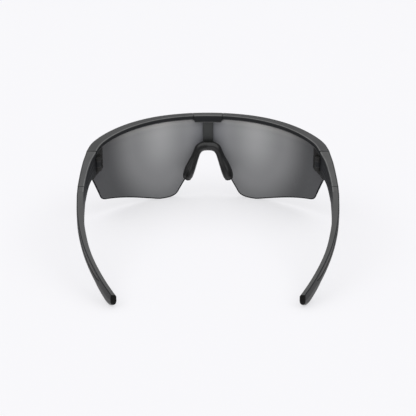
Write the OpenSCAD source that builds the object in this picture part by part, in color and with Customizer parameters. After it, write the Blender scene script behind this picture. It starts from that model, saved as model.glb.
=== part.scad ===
// Wrap-around shield glasses, opened flat on a table.
// Lengths are in millimetres, +Z is up and the lens faces -Y.
// Shapes are drawn with Y as the depth behind the foremost point of the brow bar,
// then moved so that the origin is the bottom centre of the whole object.

/* [Lens] */
// Radius of the lens's front face
lens_r = 80; // [78:0.5:82]
// Thickness of the lens
lens_t = 2; // [1.8:0.1:2.2]
// Height of the lens's outer lower corner above the table
lens_corner_z = 9.2; // [8.8:0.1:9.8]
// Height of the top of the cut-out for the nose
nose_cut_z = 34; // [33:0.5:35]

/* [Brow bar] */
// Thickness of the bar's front and rear walls on each side of the lens
bar_wall = 2; // [1.8:0.1:2.2]
// Height of the bar behind the lens
bar_h = 3.4; // [3.2:0.1:3.8]
// How much lower the bar's front lip reaches
bar_lip = 1; // [0.5:0.1:1.5]
// Thickness of the bar above the lens
bar_roof = 1.8; // [1.6:0.1:2]
// Outer radius of the corner that turns the bar towards the temple
corner_r = 26; // [25.5:0.1:26.5]
// Angle at which the corner starts, from straight ahead
corner_start = 55.3; // [55:0.1:55.6]

/* [Lens lock] */
// Width of the lock at the middle of the bar
lock_w = 18.4; // [16:0.2:20]
// Thickness of the lock's walls
lock_wall = 1.1; // [1:0.1:1.3]
// How far the lock's legs reach below the bar's top
lock_h = 4; // [3.8:0.1:4.2]

/* [Nose bridge] */
// Width of the post between the lock and the nose pad
post_w = 6.4; // [5:0.2:7]
// Radius of the bendable core wire inside the nose pad
nose_wire_r = 0.7; // [0.5:0.1:0.8]
// Radius of the nose pad's saddle
saddle_r = 2.9; // [2.7:0.1:3.1]

/* [Hinge] */
// Half distance between the two hinge axes
hinge_x = 65.2; // [65:0.1:65.3]
// Depth of the hinge axes
hinge_d = 45; // [44.8:0.1:45.2]
// Radius of the hinge knuckles
knuckle_r = 2.2; // [2:0.1:2.3]
// Radius of the hinge screw
screw_r = 0.8; // [0.7:0.05:0.9]
// Radial clearance of the hinge screw in its bores
screw_gap = 0.04; // [0.02:0.01:0.08]
// Height of the bottom of the lower ear
ear_z = 31; // [30.8:0.1:31.2]
// Height of the middle knuckle
knuckle_h = 3; // [2.6:0.1:3.2]
// Thickness of the washers between the ears and the knuckle
washer_t = 0.3; // [0.2:0.05:0.3]

/* [Temples] */
// Greatest half width over the temples
temple_x = 72.4; // [72:0.1:73]
// Depth at which the temples start to curve in
temple_bend_d = 81; // [79:1:83]
// Radius of the temples' inward curve
temple_bend_r = 147; // [143:1:152]
// Depth of the seam between the temple's front section and its collar
collar_d = 83; // [81:0.5:84]
// Length of the collar
collar_len = 5; // [4:0.5:6]
// Depth of the temples' rear ends
temple_end_d = 162.9; // [162:0.1:163.5]
// Length of the rubber end cap along the arm
cap_len = 1; // [0.8:0.1:1.6]
// Radius of the bendable core wire inside the arm
arm_wire_r = 0.7; // [0.5:0.1:0.8]

/* [Hidden] */
$fn = 96;

gap = 0.1;
// Cutting shapes reach from below the table to well above the object
cut_z = -5;
cut_h = 70;
bar_front_r = lens_r + bar_wall;
lens_back_r = lens_r - lens_t;
bar_rear_r = lens_back_r - bar_wall;
lens_axis_d = bar_front_r;
half_span = 90;
curve_step = 3;
// Width at which the end lug takes over from the bar's lip
lug_x = 63.3;
// Height of the bar's slim neck inside the lock
neck_h = 1.5;
neck_drop = lock_wall + gap;
seam_d = hinge_d + gap;
collar_end_d = collar_d + collar_len;

// Top edge of bar and temple in side view, as depth and height
TOP = [
    [0, 54], [6, 53.35], [13, 52.2], [22, 50.3], [31, 48], [38, 45.7], [45, 42.9], [60, 40.8],
    [83, 34.6], [105, 27], [126, 18.9], [145, 12.9], [163, 6.45]
];
// Bottom edge of the temple in side view
BOTTOM = [
    [45, 28.5], [56, 29.3], [70, 28.5], [85, 25.1], [105, 19.4], [120, 14.8], [145, 6.4],
    [150, 3.9], [154, 1.9], [157.5, 0.4], [160.5, 0], [163, 0.4]
];
// Thickness of the temple across its width
THICKNESS = [[45, 5.9], [58, 4.8], [72, 4.4], [95, 4.2], [119, 3.4], [136, 2.9], [163, 2.75]];
// Upper edge and height of the inlay in the arm's outer face
inlay_drop = 1.1;
INLAY_HEIGHT = [[104, 0.3], [112, 1.5], [135, 2.6], [148, 2.2], [152, 0.4]];
inlay_depth = 0.6;
// How much narrower the temple's outer face is at the hinge than at its widest
front_toe_in = 0.9;
// Centres of the balls that shape the left half of the nose pad, as width, depth and height
SADDLE_END = [4.3, 8.7, 34.5];
ARM_TOP = [7.3, 9.6, 29];
PAD_TOP = [9.8, 11.2, 23.6];
PAD_END = [12.5, 13.2, 17.4];
arm_top_r = 2.4;
pad_top_r = 3;
pad_end_r = 3.2;
// The balls are this much longer in depth than in width
pad_depth_scale = 1.25;

// Slope of the smooth curve through pts at its point i
function knot_slope(pts, i) =
    let (a = pts[max(i - 1, 0)], b = pts[min(i + 1, len(pts) - 1)]) (b[1] - a[1]) / (b[0] - a[0]);
// Number of the stretch of pts that holds x
function stretch_at(pts, x, i = 0) =
    (i >= len(pts) - 2 || x <= pts[i + 1][0]) ? i : stretch_at(pts, x, i + 1);
// Height at x of the smooth curve through pts
function smooth(pts, x) =
    let (
        i = stretch_at(pts, x), a = pts[i], b = pts[i + 1], w = b[0] - a[0], t = (x - a[0]) / w,
        rise = knot_slope(pts, i) * w, fall = knot_slope(pts, i + 1) * w
    )
    (2 * t ^ 3 - 3 * t ^ 2 + 1) * a[1] + (t ^ 3 - 2 * t ^ 2 + t) * rise
    + (3 * t ^ 2 - 2 * t ^ 3) * b[1] + (t ^ 3 - t ^ 2) * fall;
// Evenly spaced values from a to b
function steps(a, b) = let (n = max(1, ceil((b - a) / curve_step))) [for (i = [0:n]) a + (b - a) * i / n];
function reversed(list) = [for (i = [len(list) - 1:-1:0]) list[i]];
// Cubic curve from a to d, pulled towards b and c
function curve(a, b, c, d, n = 10) =
    [for (i = [0:n]) let (t = i / n)
        (1 - t) ^ 3 * a + 3 * (1 - t) ^ 2 * t * b + 3 * (1 - t) * t ^ 2 * c + t ^ 3 * d];
// Half width over the temple's outer face at depth d
function outer_x(d) =
    d < temple_bend_d
    ? temple_x - front_toe_in * ((temple_bend_d - d) / (temple_bend_d - hinge_d)) ^ 2
    : temple_x - temple_bend_r + sqrt(temple_bend_r ^ 2 - (d - temple_bend_d) ^ 2);
function inner_x(d) = outer_x(d) - smooth(THICKNESS, d);
function middle(d) = [
    (outer_x(d) + inner_x(d)) / 2, d, (smooth(TOP, d) + smooth(BOTTOM, d)) / 2
];

// Moves shapes drawn by depth into the object's own frame
module in_frame() translate([0, -temple_end_d / 2, 0]) children();
// A side-view outline, drawn as depth and height, through the whole width
module side_slab(points)
    rotate([90, 0, 90]) linear_extrude(height = 2 * half_span, center = true) polygon(points);
// A front-view outline, drawn as width and height, through the front's depth
module front_slab(points)
    translate([0, half_span, 0]) rotate([90, 0, 0]) linear_extrude(height = 2 * half_span) polygon(points);
// Everything lower than drop below the top edge
module below_top(drop, d_end = hinge_d + 3) side_slab(concat(
    [for (d = steps(0, d_end)) [d, smooth(TOP, d) - drop]],
    [[d_end, cut_z], [-5, cut_z], [-5, TOP[0][1] - drop]]
));
// A wall between two radii about the upright axis of the lens
module ring(r_in, r_out, axis = [0, lens_axis_d]) translate([axis[0], axis[1], cut_z]) difference() {
    cylinder(h = cut_h, r = r_out);
    translate([0, 0, -1]) cylinder(h = cut_h + 2, r = r_in);
}
// The middle stretch of the front, w wide
module middle_block(w) translate([-w / 2, -1, 0]) cube([w, 12, cut_h]);
// Wire of radius r along a path, with round bends and ends
module wire(path, r) for (i = [0:len(path) - 2]) hull() {
    translate(path[i]) sphere(r = r, $fn = 12);
    translate(path[i + 1]) sphere(r = r, $fn = 12);
}

// The bar's plan shape: a ring in front, and a tighter ring at each corner
module bar_wall_plan(d_end) {
    side = [sin(corner_start), -cos(corner_start)];
    far = [0, lens_axis_d] + (bar_front_r + 50) * side;
    corner = [0, lens_axis_d] + (bar_front_r - corner_r) * side;
    intersection() {
        ring(bar_rear_r, bar_front_r);
        linear_extrude(height = cut_h) polygon([
            [0, lens_axis_d], far, [far[0], -20], [-far[0], -20], [-far[0], far[1]]
        ]);
    }
    for (s = [-1, 1]) on_side(s) intersection() {
        ring(corner_r - bar_front_r + bar_rear_r, corner_r, corner);
        linear_extrude(height = cut_h) polygon([corner, far, [far[0], d_end], [corner[0], d_end]]);
    }
}
module on_side(s) if (s < 0) mirror([1, 0, 0]) children(); else children();

module brow_bar() color([0.27, 0.27, 0.27]) in_frame() {
    difference() {
        intersection() {
            bar_wall_plan(hinge_d - gap);
            below_top(0, hinge_d);
        }
        intersection() {
            ring(0, lens_r + gap);
            below_top(bar_h);
        }
        below_top(bar_h + bar_lip);
        intersection() {
            ring(lens_back_r - gap, lens_r + gap);
            below_top(bar_roof);
        }
        for (s = [-1, 1]) on_side(s) intersection() {
            translate([lug_x - gap, 0, 0]) cube([half_span, hinge_d + 3, cut_h]);
            below_top(bar_h);
        }
        middle_block(lock_w + 2 * gap);
    }
    lock_neck();
}
// The slim middle of the bar that the lock sits over
module lock_neck() intersection() {
    ring(bar_rear_r + lock_wall, bar_front_r - lock_wall);
    middle_block(lock_w + 4 * gap);
    difference() {
        below_top(neck_drop);
        below_top(neck_drop + neck_h);
    }
}

module shield_lens() color([0.2, 0.2, 0.21, 0.85]) in_frame() intersection() {
    ring(lens_back_r, lens_r);
    difference() {
        below_top(bar_roof + gap);
        difference() {
            middle_block(lock_w + 8 * gap);
            below_top(neck_drop + neck_h + 3 * gap);
        }
    }
    front_slab(lens_outline());
}
// Half of the lens's front view from the nose cut-out to the hidden side edge, then mirrored
function lens_half() = concat(
    curve([0, nose_cut_z], [4, nose_cut_z], [6, nose_cut_z - 3], [7.2, nose_cut_z - 8], 8),
    [[12.8, 14.6]],
    curve([19.1, 3.7], [20.6, 1.2], [23.5, 0], [29.5, 0], 8),
    curve([30.5, 0], [38, 1.4], [47, lens_corner_z - 4.6], [60, lens_corner_z - 0.9], 10),
    curve([61.9, lens_corner_z - 0.35], [63.6, lens_corner_z + 0.1], [64.8, lens_corner_z + 1.2],
        [65.3, lens_corner_z + 3.2], 6),
    [[69.1, 25.6], [69.2, 27], [64.9, 31.4], [64.9, 60]]
);
function lens_outline() = concat(lens_half(), [for (p = reversed(lens_half())) [-p[0], p[1]]]);

module lens_lock() color([0.25, 0.25, 0.25]) in_frame() difference() {
    intersection() {
        ring(bar_rear_r - 0.3, bar_front_r);
        middle_block(lock_w);
        below_top(0);
    }
    below_top(lock_h);
    intersection() {
        ring(bar_rear_r + lock_wall - gap, bar_front_r - lock_wall + gap);
        below_top(lock_wall);
    }
}

module bridge_post() color([0.22, 0.22, 0.22]) in_frame() {
    post_foot_z = 33.6;
    slim_z = 46;
    intersection() {
        ring(bar_rear_r + lock_wall, lens_back_r - gap / 2);
        translate([-post_w / 2, 0, slim_z]) cube([post_w, 12, cut_h]);
        below_top(neck_drop + neck_h + gap);
    }
    intersection() {
        ring(bar_rear_r + 0.3, lens_back_r - gap / 2);
        translate([-post_w / 2, 0, post_foot_z]) cube([post_w, 12, slim_z + 3 - post_foot_z]);
    }
}

// Path of the nose pad's core wire from one pad over the saddle to the other
function nose_path() = let (half = [PAD_END, PAD_TOP, ARM_TOP, SADDLE_END])
    concat(half, [for (p = reversed(half)) [-p[0], p[1], p[2]]]);
module nose_core() color([0.6, 0.6, 0.62]) in_frame() wire(nose_path(), nose_wire_r);
module pad_ball(at, r) translate(at) scale([1, pad_depth_scale, 1]) sphere(r = r, $fn = 28);
module nose_pad() color([0.1, 0.1, 0.1]) in_frame() difference() {
    union() {
        hull() for (s = [-1, 1]) on_side(s) pad_ball(SADDLE_END, saddle_r);
        for (s = [-1, 1]) on_side(s) {
            hull() {
                pad_ball(SADDLE_END, saddle_r);
                pad_ball(ARM_TOP, arm_top_r);
            }
            hull() {
                pad_ball(ARM_TOP, arm_top_r);
                pad_ball(PAD_TOP, pad_top_r);
                pad_ball(PAD_END, pad_end_r);
            }
        }
    }
    ring(bar_rear_r + 0.2, bar_front_r);
}

// Heights of the hinge's pieces, from the lower ear up
ear_h = 2.4;
knuckle_z = ear_z + ear_h + washer_t + gap;
knuckle_top = knuckle_z + knuckle_h;
ear_top = 39.3;
screw_z = ear_z + gap;
screw_top = ear_top - gap;
screw_head_r = 1.4;
screw_head_h = 0.95;
slot_w = 0.35;
slot_depth = 0.3;
pocket_gap = 0.15;
module at_hinge(z) translate([hinge_x, hinge_d, z]) children();

module end_lug() in_frame() difference() {
    union() {
        intersection() {
            bar_wall_plan(hinge_d - gap);
            below_top(bar_h + gap / 2);
            front_slab([
                [lug_x, cut_h], [lug_x, 30.2], [66.2, 28], [67.9, 25.4], [half_span, 25.4], [half_span, cut_h]
            ]);
        }
        intersection() {
            union() {
                at_hinge(ear_z) cylinder(h = cut_h, r = knuckle_r);
                translate([hinge_x - knuckle_r, hinge_d - 4, ear_z]) cube([2 * knuckle_r, 4 - gap, cut_h]);
            }
            cube([half_span, cut_h, ear_top]);
        }
    }
    at_hinge(knuckle_z - washer_t - gap / 2) cylinder(
        h = knuckle_h + 2 * washer_t + gap, r = knuckle_r + pocket_gap);
    at_hinge(0) cylinder(h = screw_top + gap, r = screw_r + screw_gap);
    at_hinge(0) cylinder(h = screw_z + screw_head_h + gap / 2, r = screw_head_r + gap);
    intersection() {
        ring(lens_back_r - gap, lens_r + gap);
        front_slab([[0, cut_h], [0, 0], [69.2, 0], [69.5, 27.1], [65.05, 31.6], [65.05, cut_h]]);
    }
}
module hinge_screw() in_frame() difference() {
    union() {
        at_hinge(screw_z) cylinder(h = screw_top - screw_z, r = screw_r);
        at_hinge(screw_z) cylinder(h = screw_head_h, r = screw_head_r);
    }
    at_hinge(screw_z) cube([4, slot_w, 2 * slot_depth], center = true);
}
module hinge_washers() in_frame()
    for (z = [knuckle_z - washer_t - gap / 2, knuckle_top + gap / 2]) at_hinge(z) difference() {
        cylinder(h = washer_t, r = knuckle_r);
        translate([0, 0, -1]) cylinder(h = 2, r = screw_r + screw_gap);
    }

// The temple's full shape between two depths: plan outline times side outline
module temple_body(d0, d1) intersection() {
    translate([0, 0, cut_z]) linear_extrude(height = cut_h) polygon(concat(
        [for (d = steps(d0, d1)) [outer_x(d), d]], [for (d = reversed(steps(d0, d1))) [inner_x(d), d]]
    ));
    side_slab(concat(
        [for (d = steps(d0, d1)) [d, smooth(TOP, d)]],
        [for (d = reversed(steps(d0, d1))) [d, smooth(BOTTOM, d)]]
    ));
}
module temple_front() in_frame() difference() {
    union() {
        difference() {
            temple_body(seam_d, collar_d);
            at_hinge(0) cylinder(h = knuckle_z, r = knuckle_r + 2 * gap);
            at_hinge(knuckle_top) cylinder(h = ear_top + 2 * gap - knuckle_top, r = knuckle_r + 2 * gap);
        }
        at_hinge(knuckle_z) {
            cylinder(h = knuckle_h, r = knuckle_r);
            translate([0, gap, 0]) cube([3, 4, knuckle_h]);
        }
    }
    at_hinge(0) cylinder(h = cut_h, r = screw_r + screw_gap);
}
module temple_collar() in_frame() difference() {
    temple_body(collar_d, collar_end_d);
    wire(core_path(), arm_wire_r);
}
// The arm's core wire runs from the collar along the middle of the arm
function core_path() = [for (d = [collar_d + arm_wire_r + 2 * gap, 98, 113, 127, 140, 151]) middle(d)];
module temple_core() in_frame() wire(core_path(), arm_wire_r);
// The leaf-shaped inlay, made larger at its upper and lower edges by grow
module arm_inlay_shape(grow) intersection() {
    ds = steps(INLAY_HEIGHT[0][0], INLAY_HEIGHT[len(INLAY_HEIGHT) - 1][0]);
    temple_body(collar_end_d, temple_end_d);
    translate([0, 0, cut_z]) linear_extrude(height = cut_h) polygon(concat(
        [[half_span, ds[0]], [half_span, ds[len(ds) - 1]]],
        [for (d = reversed(ds)) [outer_x(d) - inlay_depth, d]]
    ));
    side_slab(concat(
        [for (d = ds) [d, smooth(TOP, d) - inlay_drop + grow]],
        [for (d = reversed(ds)) [d, smooth(TOP, d) - inlay_drop - smooth(INLAY_HEIGHT, d) - grow]]
    ));
}
module temple_arm() in_frame() difference() {
    temple_body(collar_end_d, temple_end_d - cap_len);
    wire(core_path(), arm_wire_r);
    arm_inlay_shape(0.03);
}
module arm_inlay() in_frame() arm_inlay_shape(0);
module temple_cap() in_frame() temple_body(temple_end_d - cap_len, temple_end_d);

frame_grey = [0.27, 0.27, 0.27];
dark_grey = [0.15, 0.15, 0.15];
steel = [0.6, 0.6, 0.62];
module left_end_lug() color(dark_grey) end_lug();
module right_end_lug() color(dark_grey) mirror([1, 0, 0]) end_lug();
module left_hinge_screw() color(steel) hinge_screw();
module right_hinge_screw() color(steel) mirror([1, 0, 0]) hinge_screw();
module left_hinge_washers() color(dark_grey) hinge_washers();
module right_hinge_washers() color(dark_grey) mirror([1, 0, 0]) hinge_washers();
module left_temple_front() color(frame_grey) temple_front();
module right_temple_front() color(frame_grey) mirror([1, 0, 0]) temple_front();
module left_temple_collar() color(dark_grey) temple_collar();
module right_temple_collar() color(dark_grey) mirror([1, 0, 0]) temple_collar();
module left_temple_arm() color(frame_grey) temple_arm();
module right_temple_arm() color(frame_grey) mirror([1, 0, 0]) temple_arm();
module left_arm_inlay() color(dark_grey) arm_inlay();
module right_arm_inlay() color(dark_grey) mirror([1, 0, 0]) arm_inlay();
module left_temple_core() color(steel) temple_core();
module right_temple_core() color(steel) mirror([1, 0, 0]) temple_core();
module left_temple_cap() color("black") temple_cap();
module right_temple_cap() color("black") mirror([1, 0, 0]) temple_cap();

brow_bar();
shield_lens();
lens_lock();
bridge_post();
nose_core();
nose_pad();
left_end_lug();
right_end_lug();
left_hinge_screw();
right_hinge_screw();
left_hinge_washers();
right_hinge_washers();
left_temple_front();
right_temple_front();
left_temple_collar();
right_temple_collar();
left_temple_arm();
right_temple_arm();
left_arm_inlay();
right_arm_inlay();
left_temple_core();
right_temple_core();
left_temple_cap();
right_temple_cap();
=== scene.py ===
import math

import bmesh
import bpy
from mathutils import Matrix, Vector


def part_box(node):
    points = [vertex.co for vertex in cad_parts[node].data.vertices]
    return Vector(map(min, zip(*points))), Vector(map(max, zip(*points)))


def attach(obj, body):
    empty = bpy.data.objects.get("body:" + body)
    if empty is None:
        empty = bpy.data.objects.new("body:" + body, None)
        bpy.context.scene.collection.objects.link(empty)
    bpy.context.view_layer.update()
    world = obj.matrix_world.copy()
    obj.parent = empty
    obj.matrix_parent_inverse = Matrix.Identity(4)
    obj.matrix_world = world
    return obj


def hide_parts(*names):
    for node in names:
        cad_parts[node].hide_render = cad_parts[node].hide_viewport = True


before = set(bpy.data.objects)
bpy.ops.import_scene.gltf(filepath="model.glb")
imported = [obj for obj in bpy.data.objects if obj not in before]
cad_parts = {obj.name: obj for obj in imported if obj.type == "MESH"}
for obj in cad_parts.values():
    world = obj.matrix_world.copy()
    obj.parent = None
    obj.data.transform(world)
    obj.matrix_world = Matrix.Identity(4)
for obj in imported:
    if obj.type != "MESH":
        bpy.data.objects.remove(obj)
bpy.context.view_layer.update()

# ---------------------------------------------------------------- sizes, in millimetres as in the CAD
MM = 0.001
LENS_R = 80.0
LENS_T = 2.0
BAR_WALL = 2.0
BAR_R = LENS_R + BAR_WALL
BAR_DEPTH = 2 * BAR_WALL + LENS_T
BAR_H = 3.4
BAR_REAR = 2.6
BAR_LIP = 1.0
BAR_ROOF = 1.8
CORNER_R = 26.0
CORNER_START = math.radians(55.3)
HINGE_X, HINGE_D = 65.2, 45.0
KNUCKLE_R = 2.2
SEAM_GAP = 0.1
COLLAR_D, COLLAR_END_D = 83.0, 88.0
TEMPLE_X = 72.4
TEMPLE_BEND_D, TEMPLE_BEND_R = 81.0, 147.0
FRONT_TOE_IN = 0.9
CAP_LEN = 0.7
TIP_R = 2.6
LOCK_SEAM_X = 9.55
POST_W, POST_T = 6.4, 1.55
POST_LOW_Z, POST_TOP_Z = 33.8, 50.2
LOCK_CORNER_R = 1.6
BAR_EDGE_R = 0.18
SHARP_DEG = 38

# Edges of bar and temple in side view, as depth and height
TOP = [
    (0, 54), (6, 53.35), (13, 52.2), (22, 50.3), (31, 48), (38, 45.7), (45, 42.9), (60, 40.8),
    (83, 34.6), (105, 27), (126, 18.9), (145, 12.9), (163, 6.45),
]
BOTTOM = [
    (45, 28.5), (56, 29.3), (70, 28.5), (85, 25.1), (105, 19.4), (120, 14.8), (145, 6.4),
    (150, 3.9), (154, 1.9), (157.5, 0.4), (160.5, 0), (163, 0.4),
]
# Greatest thickness of the temple, and the width of its top face, by depth
THICKNESS = [(45, 5.9), (58, 4.8), (72, 4.4), (95, 4.2), (119, 3.4), (136, 2.9), (163, 2.75)]
TOP_WIDTH = [(45, 5.8), (58, 4.6), (75, 3.8), (96, 3.6), (119, 3.15), (136, 2.8), (163, 2.75)]
INLAY_DROP = 1.1
INLAY_START_D, INLAY_END_D = 104, 152
INLAY_HEIGHT = [(INLAY_START_D, 0.3), (112, 1.5), (135, 2.6), (148, 2.2), (INLAY_END_D, 0.4)]
INLAY_RECESS = 0.6
# Where the temple's sections start to turn so as to stand straight across at the end
END_TURN_D = 154.0

TEMPLE_END_D = 2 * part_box("left_temple_cap")[1].y / MM
HALF_DEPTH = TEMPLE_END_D / 2


# ---------------------------------------------------------------- curves
def smooth(pts, x):
    """Height at x of the smooth curve through pts."""
    i = 0
    while i < len(pts) - 2 and x > pts[i + 1][0]:
        i += 1

    def slope(k):
        a, b = pts[max(k - 1, 0)], pts[min(k + 1, len(pts) - 1)]
        return (b[1] - a[1]) / (b[0] - a[0])

    (x0, y0), (x1, y1) = pts[i], pts[i + 1]
    w = x1 - x0
    t = (x - x0) / w
    return (
        (2 * t**3 - 3 * t**2 + 1) * y0 + (t**3 - 2 * t**2 + t) * slope(i) * w
        + (3 * t**2 - 2 * t**3) * y1 + (t**3 - t**2) * slope(i + 1) * w
    )


def spread(a, b, n):
    return [a + (b - a) * i / n for i in range(n + 1)]


def ease(t):
    t = min(max(t, 0.0), 1.0)
    return t * t * (3 - 2 * t)


def bezier(a, b, c, d, n):
    return [
        tuple(
            (1 - t) ** 3 * a[k] + 3 * (1 - t) ** 2 * t * b[k] + 3 * (1 - t) * t**2 * c[k] + t**3 * d[k]
            for k in (0, 1)
        )
        for t in spread(0, 1, n)
    ]


def outer_x(d):
    """Half width over the temples at depth d."""
    if d < TEMPLE_BEND_D:
        return TEMPLE_X - FRONT_TOE_IN * ((TEMPLE_BEND_D - d) / (TEMPLE_BEND_D - HINGE_D)) ** 2
    return TEMPLE_X - TEMPLE_BEND_R + math.sqrt(TEMPLE_BEND_R**2 - (d - TEMPLE_BEND_D) ** 2)


def temple_turn(d):
    """How far the temple points inwards at depth d."""
    return math.asin(max(d - TEMPLE_BEND_D, 0) / TEMPLE_BEND_R)


def at(x, d, z):
    """Width, depth behind the front and height in millimetres, as a point of the frame."""
    return Vector((x * MM, (d - HALF_DEPTH) * MM, z * MM))


def rounded(corners, n=4):
    """Closed outline with each corner (x, y, radius[, tag]) rounded; every point carries its tag."""
    out = []
    count = len(corners)
    for i, corner in enumerate(corners):
        p = Vector(corner[:2])
        tag = corner[3] if len(corner) > 3 else 0
        before = Vector(corners[i - 1][:2]) - p
        after = Vector(corners[(i + 1) % count][:2]) - p
        r = corner[2]
        if r <= 0:
            out.append((p.x, p.y, tag))
            continue
        a, b = before.normalized(), after.normalized()
        half = a.angle(b) / 2
        cut = min(r / math.tan(half), 0.49 * before.length, 0.49 * after.length)
        for t in spread(0, 1, n):
            q = (1 - t) ** 2 * (p + a * cut) + 2 * (1 - t) * t * p + t**2 * (p + b * cut)
            out.append((q.x, q.y, tag))
    return out


# ---------------------------------------------------------------- meshes
def new_object(name, bm, materials, sharp=SHARP_DEG):
    bmesh.ops.recalc_face_normals(bm, faces=bm.faces)
    mesh = bpy.data.meshes.new(name)
    bm.to_mesh(mesh)
    bm.free()
    mesh.shade_smooth()
    mesh.set_sharp_from_angle(angle=math.radians(sharp))
    for m in materials:
        mesh.materials.append(m)
    obj = bpy.data.objects.new(name, mesh)
    bpy.context.collection.objects.link(obj)
    return obj


def loft(bm, rings, tags=None, cap_tag=0, end_rows=0):
    """Quads between rings of equal length, with a flat cap on each end; a quad's material is its tag,
    or the caps' tag in the end rows."""
    rows = [[bm.verts.new(p) for p in ring] for ring in rings]
    n = len(rows[0])
    for k, (low, high) in enumerate(zip(rows, rows[1:])):
        at_end = k < end_rows or k >= len(rows) - 1 - end_rows
        for i in range(n):
            j = (i + 1) % n
            face = bm.faces.new((low[i], low[j], high[j], high[i]))
            face.material_index = cap_tag if at_end or not tags else tags[i]
    for row in (rows[0], rows[-1]):
        face = bm.faces.new(row)
        face.material_index = cap_tag


def soften_ends(rings, r, n=3):
    """Adds shrunken rings before and after, so that each end has an edge of radius r, in metres."""
    out = []
    for ring, following in ((rings[0], rings[1]), (rings[-1], rings[-2])):
        centre = sum(ring, Vector()) / len(ring)
        along = (sum(following, Vector()) / len(following) - centre).normalized()
        extra = []
        for k in range(n):
            turn = (k / n) * math.pi / 2
            shrink, step = r * (1 - math.sin(turn)), r * (1 - math.cos(turn))
            row = []
            for p in ring:
                inward = centre - p
                inward -= along * inward.dot(along)
                row.append(p + inward.normalized() * shrink + along * step)
            extra.append(row)
        out.append(extra)
    return out[0] + soft_move(rings, r) + out[1][::-1]


def soft_move(rings, r):
    """The rings with the first and last moved inwards by r along the piece."""
    moved = [list(ring) for ring in rings]
    for end, following in ((0, 1), (-1, -2)):
        centre = sum(rings[end], Vector()) / len(rings[end])
        along = (sum(rings[following], Vector()) / len(rings[following]) - centre).normalized()
        moved[end] = [p + along * r for p in rings[end]]
    return moved


def mirrored(ring):
    return [Vector((-p.x, p.y, p.z)) for p in ring]


def on_side(side, rings):
    """The left piece's rings, or their mirror image for the right one."""
    return [mirrored(r) for r in rings] if side == "right" else rings


# ---------------------------------------------------------------- materials
def material(name, color, roughness, grain=0.0, grain_mm=0.3, tint=0.15, **inputs):
    """Moulded surface: base colour with slow variation, fine grain in bump and roughness."""
    m = bpy.data.materials.new(name)
    m.use_nodes = True
    nodes, links = m.node_tree.nodes, m.node_tree.links
    shader = nodes["Principled BSDF"]
    coords = nodes.new("ShaderNodeTexCoord")
    slow = nodes.new("ShaderNodeTexNoise")
    slow.inputs["Scale"].default_value = 70
    slow.inputs["Detail"].default_value = 3
    links.new(coords.outputs["Object"], slow.inputs["Vector"])
    ramp = nodes.new("ShaderNodeValToRGB")
    dark = [c * (1 - tint) for c in color]
    light = [c * (1 + tint) for c in color]
    ramp.color_ramp.elements[0].position, ramp.color_ramp.elements[1].position = 0.3, 0.7
    ramp.color_ramp.elements[0].color = (*dark, 1)
    ramp.color_ramp.elements[1].color = (*light, 1)
    links.new(slow.outputs["Fac"], ramp.inputs["Fac"])
    links.new(ramp.outputs["Color"], shader.inputs["Base Color"])
    fine = nodes.new("ShaderNodeTexNoise")
    fine.inputs["Scale"].default_value = 1 / (grain_mm * MM)
    fine.inputs["Detail"].default_value = 4
    links.new(coords.outputs["Object"], fine.inputs["Vector"])
    rough = nodes.new("ShaderNodeMapRange")
    rough.inputs["To Min"].default_value = max(roughness - 0.07, 0.02)
    rough.inputs["To Max"].default_value = min(roughness + 0.07, 1)
    links.new(fine.outputs["Fac"], rough.inputs["Value"])
    links.new(rough.outputs["Result"], shader.inputs["Roughness"])
    if grain:
        bump = nodes.new("ShaderNodeBump")
        bump.inputs["Strength"].default_value = grain
        bump.inputs["Distance"].default_value = 0.03 * MM
        links.new(fine.outputs["Fac"], bump.inputs["Height"])
        links.new(bump.outputs["Normal"], shader.inputs["Normal"])
    for key, value in inputs.items():
        shader.inputs[key.replace("_", " ")].default_value = value
    return m


charcoal = material("charcoal_plastic", (0.052, 0.052, 0.051), 0.55, grain=0.35, Specular_IOR_Level=0.45)
bar_plastic = material("bar_plastic", (0.038, 0.038, 0.038), 0.55, grain=0.35, Specular_IOR_Level=0.4)
# Rear and inner faces: a darker plastic, partly the frame's own inner tone and partly painted shade on faces
# turned away from the overhead light
inner = material("inner_plastic_and_painted_shade", (0.010, 0.011, 0.0125), 0.5, grain=0.3, Specular_IOR_Level=0.25)
# Painted highlight: a lighter plastic for thin lines along lit edges, near the bar's rear top edge and at
# the foot of its rear wall, along the temples' top inner border and their lower outer edge
painted_highlight_plastic = material("frame_painted_highlight", (0.1, 0.1, 0.098), 0.45, grain=0.15, Specular_IOR_Level=0.5)
# Painted shade: a darker plastic on the bar's front top edge and rear top corner, the temples' top outer
# edge and the upper outer face of the arms
painted_shade_plastic = material("frame_painted_shade", (0.022, 0.022, 0.022), 0.55, grain=0.3, Specular_IOR_Level=0.35)
strip = material("post_plastic", (0.036, 0.038, 0.037), 0.5, grain=0.3, Specular_IOR_Level=0.4)
rubber = material(
    "soft_rubber", (0.004, 0.004, 0.0038), 0.33, grain=0.3, grain_mm=0.2, Specular_IOR_Level=0.5,
)
inlay_m = material("inlay_plastic", (0.028, 0.025, 0.022), 0.45, grain=0.2, Specular_IOR_Level=0.4)
# End lugs: a dark plastic, darkened further as painted shade for the plate that stands in the bar's shadow
lug_plastic_and_painted_shade = material("lug_plastic_and_painted_shade", (0.0125, 0.012, 0.011), 0.5, grain=0.3, Specular_IOR_Level=0.3)
cap_rubber = material(
    "cap_rubber", (0.006, 0.006, 0.0055), 0.6, grain=0.4, grain_mm=0.2, Specular_IOR_Level=0.12,
)
steel = material("screw_steel", (0.5, 0.5, 0.52), 0.35, grain=0.2, Metallic=1.0)
nylon = material("washer_nylon", (0.02, 0.02, 0.02), 0.45, grain=0.1)
lens_edge = material("lens_edge", (0.004, 0.005, 0.006), 0.5, Specular_IOR_Level=0.08)
SHELL = [charcoal, inner, painted_highlight_plastic, painted_shade_plastic]
BAR_SHELL = [bar_plastic, inner, painted_highlight_plastic, painted_shade_plastic]
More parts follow.
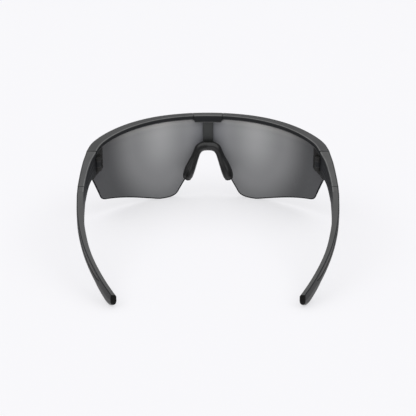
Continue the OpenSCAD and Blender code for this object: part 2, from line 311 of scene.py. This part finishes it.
# Material tags, in order: the outer face; the inner faces, partly painted shade; a painted highlight;
# painted shade
FACE, INNER_WITH_SHADE, PAINTED_HIGHLIGHT, PAINTED_SHADE = range(4)


# Middle and half size of the painted reflection, a bright patch on each half of the lens
REFLECTION_X, REFLECTION_Z = 30, 41
REFLECTION_HALF_W, REFLECTION_HALF_H = 32, 55


def lens_material():
    """Lens in a dark grey tint that is darker towards the bottom; its colour also carries painted light: a
    painted reflection brightest high in the middle of each half, a fall towards the sides that is partly
    painted reflection, a lift just under the bar against its shadow, and a painted highlight along the top
    edge.
    """
    m = bpy.data.materials.new("smoke_lens")
    m.use_nodes = True
    nodes, links = m.node_tree.nodes, m.node_tree.links
    shader = nodes["Principled BSDF"]
    coords = nodes.new("ShaderNodeTexCoord")
    split = nodes.new("ShaderNodeSeparateXYZ")
    links.new(coords.outputs["Object"], split.inputs["Vector"])

    def math_node(operation, a, b=None):
        node = nodes.new("ShaderNodeMath")
        node.operation = operation
        for socket, value in zip(node.inputs, (a, b)):
            if isinstance(value, (int, float)):
                socket.default_value = value
            elif value is not None:
                links.new(value, socket)
        return node.outputs["Value"]

    def ramp(factor, stops):
        node = nodes.new("ShaderNodeValToRGB")
        elements = node.color_ramp.elements
        node.color_ramp.interpolation = "EASE"
        for element, (position, tone) in zip(elements, (stops[0], stops[-1])):
            element.position, element.color = position, (*tone, 1)
        for position, tone in stops[1:-1]:
            elements.new(position).color = (*tone, 1)
        links.new(factor, node.inputs["Fac"])
        return node.outputs["Color"]

    def blend(kind, a, b):
        node = nodes.new("ShaderNodeMix")
        node.data_type, node.blend_type = "RGBA", kind
        node.inputs["Factor"].default_value = 1
        # the colour sockets of the mix node are its third pair
        links.new(a, node.inputs[6])
        links.new(b, node.inputs[7])
        return node.outputs[2]

    side = math_node("ABSOLUTE", split.outputs["X"])
    across = math_node("DIVIDE", math_node("SUBTRACT", side, REFLECTION_X * MM), REFLECTION_HALF_W * MM)
    up = math_node("DIVIDE", math_node("SUBTRACT", split.outputs["Z"], REFLECTION_Z * MM), REFLECTION_HALF_H * MM)
    reach = math_node("SQRT", math_node("ADD", math_node("POWER", across, 2), math_node("POWER", up, 2)))
    # painted reflection: a bright patch fading out from the middle of each half
    reflection_patch = ramp(reach, [(0, (0.31, 0.31, 0.306)), (0.5, (0.17, 0.17, 0.169)), (1, (0, 0, 0))])
    # tint lighter and cooler in the middle and darker towards the sides, partly painted reflection
    base = ramp(math_node("DIVIDE", side, 70 * MM), [
        (0, (0.145, 0.148, 0.163)), (0.3, (0.125, 0.127, 0.132)), (0.85, (0.082, 0.083, 0.086)),
        (1, (0.075, 0.075, 0.08)),
    ])
    # by height along the bar's arch: darker towards the bottom, lighter just under the bar as painted light
    # against its shadow, and a painted highlight along the top edge
    arch = math_node("MULTIPLY", math_node("POWER", math_node("DIVIDE", side, 60 * MM), 2.5), 5.5 * MM)
    low = ramp(math_node("DIVIDE", math_node("ADD", split.outputs["Z"], arch), 54 * MM), [
        (0, (0.85, 0.85, 0.85)), (0.7, (1, 1, 1)), (0.87, (1.08, 1.08, 1.07)), (0.935, (1.5, 1.48, 1.42)),
    ])
    total = blend("ADD", base, reflection_patch)
    links.new(blend("MULTIPLY", total, low), shader.inputs["Base Color"])
    fine = nodes.new("ShaderNodeTexNoise")
    fine.inputs["Scale"].default_value = 400
    links.new(coords.outputs["Object"], fine.inputs["Vector"])
    rough = nodes.new("ShaderNodeMapRange")
    rough.inputs["To Min"].default_value, rough.inputs["To Max"].default_value = 0.42, 0.48
    links.new(fine.outputs["Fac"], rough.inputs["Value"])
    links.new(rough.outputs["Result"], shader.inputs["Roughness"])
    shader.inputs["Specular IOR Level"].default_value = 0.35
    return m


lens_tint_and_reflection = lens_material()


# ---------------------------------------------------------------- brow bar
def bar_point(phi_share, u, w):
    """Point of the bar: phi_share from 0 at the middle to 1 at the corner and 2 at the seam,
    u inwards from the front face, w up from the top edge."""
    if phi_share <= 1:
        phi = phi_share * CORNER_START
        cx, cd, r = 0, BAR_R, BAR_R
    else:
        cx = (BAR_R - CORNER_R) * math.sin(CORNER_START)
        cd = BAR_R - (BAR_R - CORNER_R) * math.cos(CORNER_START)
        r = CORNER_R
        phi_end = math.acos((cd - HINGE_D + SEAM_GAP) / (r - u))
        phi = CORNER_START + (phi_share - 1) * (phi_end - CORNER_START)
    x, d = cx + (r - u) * math.sin(phi), cd - (r - u) * math.cos(phi)
    front_d = cd - r * math.cos(phi)
    share = 0.5 * u / BAR_DEPTH
    top = (1 - share) * smooth(TOP, min(front_d, HINGE_D)) + share * smooth(TOP, d)
    return at(x, d, top + w)


def bar_section(rear_w, lip_w, rear_u=BAR_DEPTH, roof=BAR_ROOF, leg=BAR_WALL):
    """Section across the bar, from its front lip over the top to the rear wall and the groove."""
    # the tags put painted shade on the front top edge and the rear top corner, a painted highlight near the
    # rear top edge and at the foot of the rear wall, and the darker inner plastic, partly painted shade, on
    # the rear wall and the groove
    return rounded([
        (0, lip_w, 0.3, FACE), (0, -0.5, 0.1, PAINTED_SHADE), (0.15, -0.02, 0.15, PAINTED_SHADE), (0.6, -0.01, 0.1, FACE),
        (rear_u - 0.75, -0.03, 0.2, PAINTED_HIGHLIGHT), (rear_u - 0.12, -0.12, 0.15, PAINTED_SHADE), (rear_u, -0.5, 0.1, INNER_WITH_SHADE),
        (rear_u, rear_w + 0.5, 0.1, PAINTED_HIGHLIGHT), (rear_u - 0.2, rear_w, 0.1, INNER_WITH_SHADE),
        (rear_u - leg + 0.15, rear_w, 0.1, INNER_WITH_SHADE), (rear_u - leg + 0.1, -roof, 0.1, INNER_WITH_SHADE),
        (leg - 0.1, -roof, 0.1, INNER_WITH_SHADE), (leg - 0.15, lip_w, 0.1, INNER_WITH_SHADE),
    ])


# The middle of the seam at the lock's end, and half the seam, as shares of the bar's front arc
LOCK_SHARE = math.asin(LOCK_SEAM_X / BAR_R) / CORNER_START
SEAM_SHARE = 0.0013
BAR_SHARES = spread(LOCK_SHARE + SEAM_SHARE, 1, 80) + spread(1, 2, 34)[1:]


def make_brow_bar():
    bm = bmesh.new()
    section = bar_section(-BAR_REAR, -BAR_H - BAR_LIP)
    tags = [tag for _, _, tag in section]
    rings = [[bar_point(s, u, w) for u, w, _ in section] for s in BAR_SHARES]
    rings = soften_ends(rings, BAR_EDGE_R * MM)
    loft(bm, rings, tags, INNER_WITH_SHADE, 2)
    loft(bm, [mirrored(r) for r in rings], tags, INNER_WITH_SHADE, 2)
    neck = rounded([(1.2, -2.8, 0.1), (1.2, -1.3, 0.1), (4.8, -1.3, 0.1), (4.8, -2.8, 0.1)], 2)
    neck_rings = []
    for x in spread(-LOCK_SHARE - 0.006, LOCK_SHARE + 0.006, 24):
        ring = [bar_point(abs(x), u, w) for u, w, _ in neck]
        neck_rings.append(ring if x >= 0 else mirrored(ring))
    loft(bm, neck_rings, [INNER_WITH_SHADE] * len(neck), cap_tag=INNER_WITH_SHADE)
    obj = new_object("brow_bar_moulding", bm, BAR_SHELL)
    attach(obj, "front")
    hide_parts("brow_bar")


def make_lens_lock():
    """The block over the middle of the bar: its rear leg has rounded lower corners."""
    bm = bmesh.new()
    half = LOCK_SHARE - SEAM_SHARE
    shares = spread(-half, half, 36)
    arc_mm = CORNER_START * BAR_R
    rings, tags = [], None
    for x in shares:
        from_end = (half - abs(x)) * arc_mm
        lift = 0.0
        if from_end < LOCK_CORNER_R:
            lift = LOCK_CORNER_R - math.sqrt(max(LOCK_CORNER_R**2 - (LOCK_CORNER_R - from_end) ** 2, 0))
        section = bar_section(-4.4 + lift * 0.8, -BAR_H - BAR_LIP + 0.1, 6.3, roof=1.15, leg=1.1)
        tags = [tag for _, _, tag in section]
        ring = [bar_point(abs(x), u, w) for u, w, _ in section]
        rings.append(ring if x >= 0 else mirrored(ring))
    loft(bm, soften_ends(rings, BAR_EDGE_R * MM), tags, INNER_WITH_SHADE, 2)
    obj = new_object("lens_lock_block", bm, SHELL)
    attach(obj, "lens_lock")
    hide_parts("lens_lock")


# ---------------------------------------------------------------- lens
SIDE_X, SIDE_Z = 64.9, 31.4
WING_X = 69.2


def lens_bottom_points():
    """Lower edge of the lens's left half, from over the nose to the outer corner under the hinge."""
    z = 9.2
    return (
        bezier((0, 34), (4, 34), (6, 31), (7.2, 26), 16)
        + [(8.6, 23.1), (10, 20.3), (11.4, 17.5), (12.8, 14.6), (14.9, 10.95), (17, 7.35)]
        + bezier((19.1, 3.7), (20.6, 1.2), (23.5, 0), (29.5, 0), 16)
        + bezier((30.5, 0), (38, 1.4), (47, z - 4.6), (60, z - 0.9), 26)
        + bezier((61.9, z - 0.35), (63.6, z + 0.1), (64.8, z + 1.2), (65.3, z + 3.2), 12)
        + [(66.3, 15.9), (67.3, 19.4), (68.3, 22.9), (69.1, 25.6), (WING_X, 26.2)]
    )


def along(pts, x):
    """Height and slope at x of the straight-line path through pts."""
    for (x0, z0), (x1, z1) in zip(pts, pts[1:]):
        if x0 <= x <= x1 and x1 > x0:
            return z0 + (z1 - z0) * (x - x0) / (x1 - x0), (z1 - z0) / (x1 - x0)
    return pts[-1][1], 0.0


def lens_top(x):
    d = BAR_R - math.sqrt((LENS_R - 1) ** 2 - x * x)
    drop = BAR_ROOF + 0.1
    if abs(x) < 9.9:
        drop += 1.3
    return smooth(TOP, d) - drop - 0.25


def make_lens():
    bm = bmesh.new()
    bottom = lens_bottom_points()
    # the corner at the end of the hidden straight side is shared by both blocks of the grid
    xs = sorted(set(round(x, 4) for x, _ in bottom) | {9.7, 10.05, SIDE_X, 65.8, 66.8, 67.8})
    low_n, high_n = 22, 12
    rim = 0.75

    def column(x, r):
        z0, slope = along(bottom, x)
        wing = x > SIDE_X
        if wing:
            mid = SIDE_Z - (x - SIDE_X) * (SIDE_Z - 27) / (WING_X - SIDE_X)
        else:
            mid = 40 - 8.6 * (x / SIDE_X) ** 2
        edge = min(rim * math.sqrt(1 + slope * slope), 0.4 * (mid - z0))
        zs = [z0] + spread(z0 + edge, mid, low_n - 1)
        if not wing:
            zs += spread(mid, lens_top(x), high_n)[1:]
        d = BAR_R - math.sqrt(r * r - x * x)
        return [at(x, d, z) for z in zs]

    for side in (-1, 1):
        for r, edge_r in ((LENS_R, LENS_R - 0.2), (LENS_R - LENS_T, LENS_R - LENS_T + 0.2)):
            rows = []
            for x in xs:
                pts = column(x, r)
                pts[0] = column(x, edge_r)[0]
                rows.append([bm.verts.new((side * p.x, p.y, p.z)) for p in pts])
            for a, b in zip(rows, rows[1:]):
                for k in range(min(len(a), len(b)) - 1):
                    quad = (a[k], b[k], b[k + 1], a[k + 1])
                    face = bm.faces.new(quad)
                    face.material_index = 1 if k == 0 else 0
    bmesh.ops.remove_doubles(bm, verts=bm.verts, dist=0.002 * MM)
    border = [e for e in bm.edges if len(e.link_faces) == 1]
    walls = bmesh.ops.bridge_loops(bm, edges=border)
    for face in walls["faces"]:
        face.material_index = 1
    obj = new_object("shield_lens_curved", bm, [lens_tint_and_reflection, lens_edge], sharp=30)
    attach(obj, "front")
    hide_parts("shield_lens")


# ---------------------------------------------------------------- nose bridge
def make_post():
    bm = bmesh.new()
    rings = []
    section = rounded([
        (-POST_W / 2, 0, 0.35), (-POST_W / 2, POST_T, 0.5), (POST_W / 2, POST_T, 0.5), (POST_W / 2, 0, 0.35),
    ])
    for z in spread(POST_LOW_Z, POST_TOP_Z, 12):
        ring = []
        for x, u, _ in section:
            r = LENS_R - LENS_T - 0.08 - u
            ring.append(at(x, BAR_R - math.sqrt(r * r - x * x), z))
        rings.append(ring)
    loft(bm, rings)
    obj = new_object("bridge_post_strip", bm, [strip])
    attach(obj, "front")
    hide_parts("bridge_post")


# The nose pad's middle line on the left side: width, depth, height, half width, half depth
NOSE_LINE = [
    (0, 8.6, 34.9, 2.9, 2.9), (3.0, 8.7, 34.7, 2.95, 2.9), (5.3, 8.9, 33.5, 2.8, 2.9),
    (6.9, 9.4, 31.1, 2.4, 2.9), (8.3, 10.1, 27.7, 2.55, 3.1), (10.0, 11.1, 23.9, 3.05, 3.5),
    (11.5, 12.3, 20.3, 3.35, 3.9), (12.6, 13.2, 17.2, 3.2, 3.8), (13.1, 13.6, 15.7, 2.7, 3.0),
]


def nose_at(t):
    """Middle line at t, from -1 at the right pad's end to 1 at the left pad's end."""
    keys = [(i / (len(NOSE_LINE) - 1), *p) for i, p in enumerate(NOSE_LINE)]
    value = [smooth([(k[0], k[c]) for k in keys], abs(t)) for c in range(1, 6)]
    value[0] = math.copysign(value[0], t)
    return value


def make_nose_pad():
    bm = bmesh.new()
    rings = []
    count, around = 96, 40
    for t in spread(-1, 1, count):
        x, d, z, half_w, half_d = nose_at(t)
        ax, _, az, _, _ = nose_at(max(t - 0.01, -1))
        bx, _, bz, _, _ = nose_at(min(t + 0.01, 1))
        along_line = Vector((bx - ax, 0, bz - az)).normalized()
        across = Vector((-along_line.z, 0, along_line.x))
        pad = ease((abs(t) - 0.45) / 0.25)
        ring = []
        for i in range(around):
            a = 2 * math.pi * i / around
            out, back = math.cos(a), math.sin(a)
            # a crest runs along the back of each arm, and on the pad a groove parts it from the outer wing
            lean = (a - math.pi / 2) * (1 if t > 0 else -1)
            crest = 1 + 0.12 * math.exp(-((lean - 0.25) / 0.3) ** 2)
            crest -= 0.2 * pad * math.exp(-((lean + 0.42) / 0.2) ** 2)
            p = Vector((x, d, z)) + across * (half_w * out) + Vector((0, half_d * back * crest, 0))
            ring.append(at(*p))
        rings.append(ring)
    # round pad ends
    caps = []
    for ring, sign in ((rings[0], -1), (rings[-1], 1)):
        centre = sum(ring, Vector()) / len(ring)
        x0, _, z0, _, _ = nose_at(sign * 0.98)
        x1, _, z1, _, _ = nose_at(sign)
        step = Vector((x1 - x0, 0.25, z1 - z0)).normalized() * 1.7 * MM
        caps.append([
            [centre + (p - centre) * math.cos(turn) + step * math.sin(turn) for p in ring]
            for turn in spread(0, math.pi / 2 * 0.97, 7)[1:]
        ])
    rings = caps[0][::-1] + rings + caps[1]
    loft(bm, rings)
    obj = new_object("nose_pad_rubber", bm, [rubber], sharp=60)
    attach(obj, "front")
    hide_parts("nose_pad")


# ---------------------------------------------------------------- temples
def tip_lift(d):
    """How much the lower edge near the tip is rounded off, by depth."""
    corner = min(max(d - TEMPLE_END_D + TIP_R, 0), TIP_R)
    return 0.4 * ease((d - 148) / 8) + 0.9 * (TIP_R - math.sqrt(TIP_R**2 - corner**2))


def temple_ring(d, recess=0.0, ribs=0.0, shrink=0.0):
    """Section across the left temple where its outer face is at depth d, and the tag of each point."""
    top, low = smooth(TOP, d) - shrink, smooth(BOTTOM, d) + shrink + tip_lift(d)
    height = top - low
    thick = smooth(THICKNESS, d) - 2 * shrink
    rear = ease((d - COLLAR_D) / 14)
    inset = 0.22 * rear
    edge = inset + 0.8 - 0.3 * rear
    inner_top = min(inset + smooth(TOP_WIDTH, d), thick) - shrink
    foot = min(0.75 + 0.25 * ease((d - 140) / 15), 0.38 * thick)
    leaf_low = INLAY_DROP + (max(smooth(INLAY_HEIGHT, d), 0.3) if INLAY_START_D < d < INLAY_END_D else 0.3)
    # up to the collar's end the outer face has one tone; behind it the upper part gets painted shade, its
    # foot a painted highlight
    ahead = d < COLLAR_END_D
    face_tag, foot_tag = (FACE, FACE) if ahead else (PAINTED_SHADE, PAINTED_HIGHLIGHT)
    # along the top outer edge a painted shade line, the darker inner plastic behind the collar; in front a
    # painted highlight runs along the top face's inner border
    strip_tag, border = (PAINTED_SHADE, PAINTED_HIGHLIGHT) if ahead else (INNER_WITH_SHADE, FACE)
    pts = []

    def add(across, down, tag):
        pts.append((across + shrink, down, tag))

    def outer_face(down):
        return inset * (1 - ease(down / (0.45 * height)))

    def inner_face(down):
        return inner_top + (thick - inner_top) * ease(down / (0.6 * height))

    for t in spread(0, 1, 4):
        turn = t * math.pi / 2
        add(foot * (1 - math.sin(turn)), height - foot * (1 - math.cos(turn)), foot_tag)
    for down in spread(height - foot - 0.2, leaf_low + 0.15, 6):
        add(outer_face(down), down, FACE if down > 0.55 * height else face_tag)
    # the recess walls take the darker inner plastic, partly painted shade
    for down in (leaf_low, leaf_low - 0.1, INLAY_DROP + 0.1, INLAY_DROP):
        inside = 0 if down in (leaf_low, INLAY_DROP) else recess
        add(outer_face(down) + inside, down, INNER_WITH_SHADE if inside else face_tag)
    strip_drop = 0.5 - 0.15 * rear
    for t in spread(0, 1, 4):
        turn = t * math.pi / 2
        across = inset + (edge - inset) * (1 - math.cos(turn))
        add(across, strip_drop * (1 - math.sin(turn)), strip_tag)
    pts[-1] = (*pts[-1][:2], FACE)
    add(0.5 * (edge + inner_top), 0, FACE)
    add(inner_top - 0.6, 0.02, border)
    add(inner_top - 0.15, 0.12, border)
    # the inner face takes the darker inner plastic, partly painted shade, as it turns away from the light
    add(inner_top, 0.45, INNER_WITH_SHADE)
    for down in spread(0.8, height - foot - 0.1, 24):
        rib = sum(math.exp(-(((down / height - c) / 0.055) ** 2)) for c in (0.3, 0.48, 0.66))
        add(inner_face(down) + ribs * (rib - 0.4), down, INNER_WITH_SHADE)
    for t in spread(0, 1, 4):
        turn = t * math.pi / 2
        add(thick - foot * (1 - math.cos(turn)), height - foot * (1 - math.sin(turn)), INNER_WITH_SHADE)
    turn = temple_turn(d)
    # sections stand square to the arm, and turn to stand straight across at its very end
    square = 1 - ease((d - END_TURN_D) / (TEMPLE_END_D - CAP_LEN - END_TURN_D))
    skew = math.cos(turn) * math.sin(turn) * square
    ring = []
    for across, down, _ in pts:
        depth = d - across * skew
        x = outer_x(d) - across * (1 - math.tan(turn) * skew)
        sink = down * (smooth(TOP, depth) - smooth(BOTTOM, depth) - tip_lift(depth) - 2 * shrink) / height
        ring.append(at(x, depth, smooth(TOP, depth) - shrink - sink))
    return ring, [tag for _, _, tag in pts]


def temple_piece(name, node, d0, d1, count, end_r, recess=None, ribs=None, shrink=0.0, cut=None, plug=0):
    """One section of both temples, lofted between two depths; a plug reaches into both neighbours."""
    for side in ("left", "right"):
        bm = bmesh.new()
        rings, tags = [], None
        for d in spread(d0, d1, count):
            ring, tags = temple_ring(d, recess(d) if recess else 0, ribs(d) if ribs else 0, shrink)
            rings.append(ring)
        loft(bm, on_side(side, soften_ends(rings, end_r * MM)), tags, INNER_WITH_SHADE, 2)
        if plug:
            core = [temple_ring(d, shrink=0.3)[0] for d in spread(d0 - plug, d1 + plug, 10)]
            loft(bm, on_side(side, core), [INNER_WITH_SHADE] * len(core[0]), INNER_WITH_SHADE)
        obj = new_object(f"{side}_{name}", bm, SHELL)
        if cut:
            cut(obj, 1 if side == "left" else -1)
        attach(obj, f"{side}_temple")
        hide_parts(f"{side}_{node}")


def cylinder_object(x, d, z0, z1, r):
    bm = bmesh.new()
    depth = (z1 - z0) * MM
    bmesh.ops.create_cone(bm, cap_ends=True, segments=48, radius1=r * MM, radius2=r * MM, depth=depth)
    bmesh.ops.translate(bm, verts=bm.verts, vec=at(x, d, (z0 + z1) / 2))
    return new_object("tool", bm, [inner])


def combine(obj, tool, operation):
    """Applies a Boolean of obj with tool, and removes the tool."""
    mod = obj.modifiers.new("combine", "BOOLEAN")
    mod.operation, mod.object, mod.solver = operation, tool, "EXACT"
    graph = bpy.context.evaluated_depsgraph_get()
    mesh = bpy.data.meshes.new_from_object(obj.evaluated_get(graph))
    obj.modifiers.clear()
    old, obj.data = obj.data, mesh
    bpy.data.meshes.remove(old)
    bpy.data.objects.remove(tool)
    mesh.shade_smooth()
    mesh.set_sharp_from_angle(angle=math.radians(SHARP_DEG))


EAR_Z, KNUCKLE_Z, KNUCKLE_H, EAR_TOP = 31.0, 33.8, 3.0, 39.3
EAR_START_D = 41.0
SCREW_HEAD_DEPTH = 1.1
WASHER_ROOM = 0.3
EAR_CLEAR = 0.2


def hinge_cut(obj, side):
    """Room for the end lug's ears, and the temple's own knuckle between them."""
    x = side * HINGE_X
    knuckle_top = KNUCKLE_Z + KNUCKLE_H
    room_r = KNUCKLE_R + EAR_CLEAR
    combine(obj, cylinder_object(x, HINGE_D, 20, KNUCKLE_Z, room_r), "DIFFERENCE")
    combine(obj, cylinder_object(x, HINGE_D, knuckle_top, EAR_TOP + EAR_CLEAR, room_r), "DIFFERENCE")
    combine(obj, cylinder_object(x, HINGE_D, KNUCKLE_Z, knuckle_top, KNUCKLE_R), "UNION")


CAP_START_D = TEMPLE_END_D - CAP_LEN * math.cos(temple_turn(TEMPLE_END_D))


def make_temples():
    temple_piece(
        "temple_front_section", "temple_front", HINGE_D + SEAM_GAP, COLLAR_D - 0.05, 46, 0.15,
        ribs=lambda d: 0.3 * ease((d - 49) / 8) * ease((82 - d) / 8), cut=hinge_cut,
    )
    temple_piece(
        "temple_collar_band", "temple_collar", COLLAR_D + 0.12, COLLAR_END_D - 0.1, 8, 0.12,
        shrink=0.06, plug=0.7,
    )
    temple_piece(
        "temple_arm_rear", "temple_arm", COLLAR_END_D, CAP_START_D, 90, 0.1,
        recess=lambda d: INLAY_RECESS * ease((d - INLAY_START_D) / 4) * ease((INLAY_END_D - d) / 2),
    )


def make_caps():
    """The rubber pads on the temples' ends, with soft edges and a round lower corner."""
    for side in ("left", "right"):
        bm = bmesh.new()
        last, _ = temple_ring(TEMPLE_END_D)
        first, _ = temple_ring(CAP_START_D)
        centre = sum(last, Vector()) / len(last)
        rings = [first]
        for share, shrink in ((0.4, 0.0), (0.7, 0.0), (0.92, 0.06), (1.0, 0.18)):
            row = []
            for p, q in zip(first, last):
                point = p.lerp(q, share)
                inward = centre - point
                inward.y = 0
                row.append(point + inward.normalized() * min(shrink * MM, 0.4 * inward.length))
            rings.append(row)
        loft(bm, on_side(side, rings))
        obj = new_object(f"{side}_temple_cap_rubber", bm, [cap_rubber], sharp=60)
        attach(obj, f"{side}_temple")
        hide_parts(f"{side}_temple_cap")


def make_inlays():
    """The leaf-shaped strip in each arm's outer face, a little below the surface."""
    for side in ("left", "right"):
        bm = bmesh.new()
        rings = []
        for d in spread(INLAY_START_D + 1, INLAY_END_D - 1, 60):
            top = smooth(TOP, d)
            tall = max(smooth(INLAY_HEIGHT, d), 0.35)
            mid = INLAY_DROP + tall / 2
            half = tall / 2 - 0.3 * min(tall, 1)
            height = top - smooth(BOTTOM, d)
            face = outer_x(d) - 0.4 * (1 - ease(mid / (0.45 * height)))
            ring = []
            for i in range(16):
                a = 2 * math.pi * i / 16
                proud = 0.16 * math.sin(a) if math.sin(a) > 0 else 0.12 * math.sin(a)
                ring.append(at(face - 0.42 + proud, d, top - mid + half * math.cos(a)))
            rings.append(ring)
        loft(bm, on_side(side, rings))
        obj = new_object(f"{side}_arm_inlay_strip", bm, [inlay_m], sharp=60)
        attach(obj, f"{side}_temple")
        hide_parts(f"{side}_arm_inlay")


# ---------------------------------------------------------------- end lugs and hardware
LUG_X = 62.95
LUG_DROP = 2.1
# The lug's lower edge seen from behind, as width and height
LUG_EDGE = [(60, 30.2), (63.5, 30.2), (66.2, 28), (67.9, 25.4), (75, 25.4)]


def lug_low(x):
    return along(LUG_EDGE, x)[0]


def share_at(x, u):
    """The bar's share at which its wall reaches width x at u behind the front face."""
    low, high = 0.5, 1.9
    for _ in range(30):
        mid = (low + high) / 2
        low, high = (mid, high) if bar_point(mid, u, 0).x < x * MM else (low, mid)
    return low


def lug_wall():
    """Rings of the wall that stands under the bar's corner, from its inner edge to the seam."""
    us = spread(BAR_DEPTH - 0.2, 0.1, 10)
    starts = [share_at(LUG_X, u) for u in us]
    rings = []
    for t in spread(0, 1, 24):
        low, top = [], []
        for u, start in zip(us, starts):
            share = start + (2 - start) * t
            p, q = bar_point(share, u, 0), bar_point(share, u, -LUG_DROP)
            low.append(Vector((p.x, p.y, lug_low(p.x / MM) * MM)))
            top.append(q)
        rings.append(low + top[::-1])
    return soften_ends(rings, 0.25 * MM)


def ear(z0, z1, d_end=None):
    """Rings of one hinge ear: a block with a round end about the hinge, or cut off at d_end."""
    if d_end:
        tail = [(HINGE_X + KNUCKLE_R, d_end), (HINGE_X - KNUCKLE_R, d_end)]
    else:
        turns = spread(0, math.pi, 16)
        tail = [(HINGE_X + KNUCKLE_R * math.cos(a), HINGE_D + KNUCKLE_R * math.sin(a)) for a in turns]
    plan = [(HINGE_X - KNUCKLE_R, EAR_START_D), (HINGE_X + KNUCKLE_R, EAR_START_D)] + tail
    return soften_ends([[at(x, d, z) for x, d in plan] for z in spread(z0, z1, 4)], 0.15 * MM)


def make_lugs():
    """Each end lug: the wall under the bar's corner, and the two ears that hold the hinge screw."""
    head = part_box("left_hinge_screw")
    for side in ("left", "right"):
        low_ear = bmesh.new()
        loft(low_ear, on_side(side, ear(EAR_Z, KNUCKLE_Z - WASHER_ROOM)))
        holder = new_object("ear", low_ear, [inner])
        x = HINGE_X if side == "left" else -HINGE_X
        recess_r = (head[1].x - head[0].x) / 2 / MM + SEAM_GAP
        recess = cylinder_object(x, HINGE_D, EAR_Z - 1, EAR_Z + SCREW_HEAD_DEPTH, recess_r)
        combine(holder, recess, "DIFFERENCE")
        bm = bmesh.new()
        bm.from_mesh(holder.data)
        bpy.data.objects.remove(holder)
        for rings in (
            lug_wall(), ear(KNUCKLE_Z + KNUCKLE_H + WASHER_ROOM, EAR_TOP),
            ear(EAR_Z + 0.4, EAR_TOP - 0.4, HINGE_D - KNUCKLE_R - 0.4),
        ):
            loft(bm, on_side(side, rings))
        obj = new_object(f"{side}_end_lug_block", bm, [lug_plastic_and_painted_shade])
        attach(obj, "front")
        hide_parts(f"{side}_end_lug")


def dress_hardware():
    for name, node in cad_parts.items():
        finish = None
        if "screw" in name or "core" in name:
            finish = steel
        elif "washer" in name:
            finish = nylon
        if finish:
            node.data.materials.clear()
            node.data.materials.append(finish)


# ---------------------------------------------------------------- stage, lights and camera
def make_stage():
    bm = bmesh.new()
    bmesh.ops.create_grid(bm, x_segments=1, y_segments=1, size=20)
    bmesh.ops.translate(bm, verts=bm.verts, vec=(0, 0, -0.05 * MM))
    paper = bpy.data.materials.new("pale_table")
    paper.use_nodes = True
    shader = paper.node_tree.nodes["Principled BSDF"]
    shader.inputs["Base Color"].default_value = (0.34, 0.335, 0.345, 1)
    shader.inputs["Roughness"].default_value = 0.9
    shader.inputs["Specular IOR Level"].default_value = 0.1
    shader.inputs["Emission Color"].default_value = (0.985, 0.985, 1, 1)
    shader.inputs["Emission Strength"].default_value = 0.575
    new_object("table", bm, [paper])


def area_light(name, size, power, position, target, color=(1, 1, 1)):
    light = bpy.data.lights.new(name, "AREA")
    light.shape, light.size, light.energy, light.color = "SQUARE", size, power, color
    obj = bpy.data.objects.new(name, light)
    obj.location = position
    obj.rotation_euler = (Vector(target) - Vector(position)).to_track_quat("-Z", "Y").to_euler()
    bpy.context.collection.objects.link(obj)


def make_lights():
    world = bpy.data.worlds.new("studio")
    bpy.context.scene.world = world
    world.use_nodes = True
    background = world.node_tree.nodes["Background"]
    background.inputs["Color"].default_value = (0.93, 0.95, 1, 1)
    background.inputs["Strength"].default_value = 0.3
    area_light("overhead", 8, 240, (0, 0, 3), (0, 0, 0))
    bpy.context.scene.view_settings.view_transform = "Standard"


ELEVATION = math.radians(21)
CAMERA_DISTANCE = 0.55224
FOCAL_MM, SENSOR_MM = 85, 36


def make_camera():
    camera = bpy.data.cameras.new("view")
    camera.lens, camera.sensor_width = FOCAL_MM, SENSOR_MM
    camera.clip_start, camera.clip_end = 0.01, 50
    obj = bpy.data.objects.new("view", camera)
    target = at(0, 80, 20.65)
    obj.location = target + CAMERA_DISTANCE * Vector((0, math.cos(ELEVATION), math.sin(ELEVATION)))
    obj.rotation_euler = (target - obj.location).to_track_quat("-Z", "Y").to_euler()
    bpy.context.collection.objects.link(obj)
    bpy.context.scene.camera = obj


make_camera()
make_stage()
make_lights()
make_brow_bar()
make_lens_lock()
make_lens()
make_post()
make_nose_pad()
make_temples()
make_caps()
make_inlays()
make_lugs()
dress_hardware()
